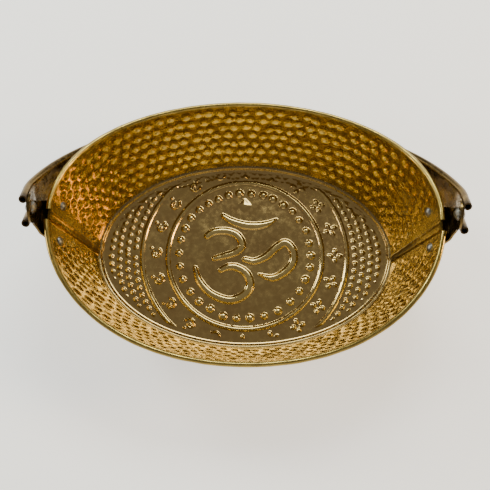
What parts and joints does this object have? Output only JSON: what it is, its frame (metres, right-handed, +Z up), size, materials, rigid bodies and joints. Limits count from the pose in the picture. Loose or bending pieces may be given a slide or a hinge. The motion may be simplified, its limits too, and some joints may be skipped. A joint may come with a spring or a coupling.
{
  "type": "oval brass basket bowl",
  "caption": "Oval hammered brass basket bowl with an embossed floor, wired rims and a folding bail handle riveted to strap ears at its tips.",
  "frame": {"origin": "centre of the floor's underside, where the bowl stands on a table", "axes": "+X along the bowl from tip to tip, +Y to the back where the handle lies folded, +Z up"},
  "size_m": [0.336, 0.2313, 0.121],
  "materials": {
    "hammered_brass": "hammered, polished, lightly aged",
    "embossed_brass": "embossed, dull olive-brown patina",
    "strap_brass": "satin, lightly scratched",
    "rivet_aluminium": "plain, domed by hammer",
    "rim_wire": "drawn wire, hidden in the rim"
  },
  "bodies": {
    "bowl": {"floor_plate": "embossed_brass", "front_wall": "hammered_brass", "back_wall": "hammered_brass", "front_rim_wire": "rim_wire", "back_rim_wire": "rim_wire", "left_ear": "strap_brass", "right_ear": "strap_brass", "ear_rivet_left_front": "rivet_aluminium", "ear_rivet_left_back": "rivet_aluminium", "ear_rivet_right_front": "rivet_aluminium", "ear_rivet_right_back": "rivet_aluminium", "left_pivot_rivet": "rivet_aluminium", "right_pivot_rivet": "rivet_aluminium"},
    "handle": {"handle": "strap_brass"}
  },
  "joints": [
    {"name": "handle_swing", "type": "hinge", "parent": "bowl", "child": "handle", "pos_m": [0, 0, 0.106], "axis": [1, 0, 0], "range_deg": [0, 261.2]}
  ]
}
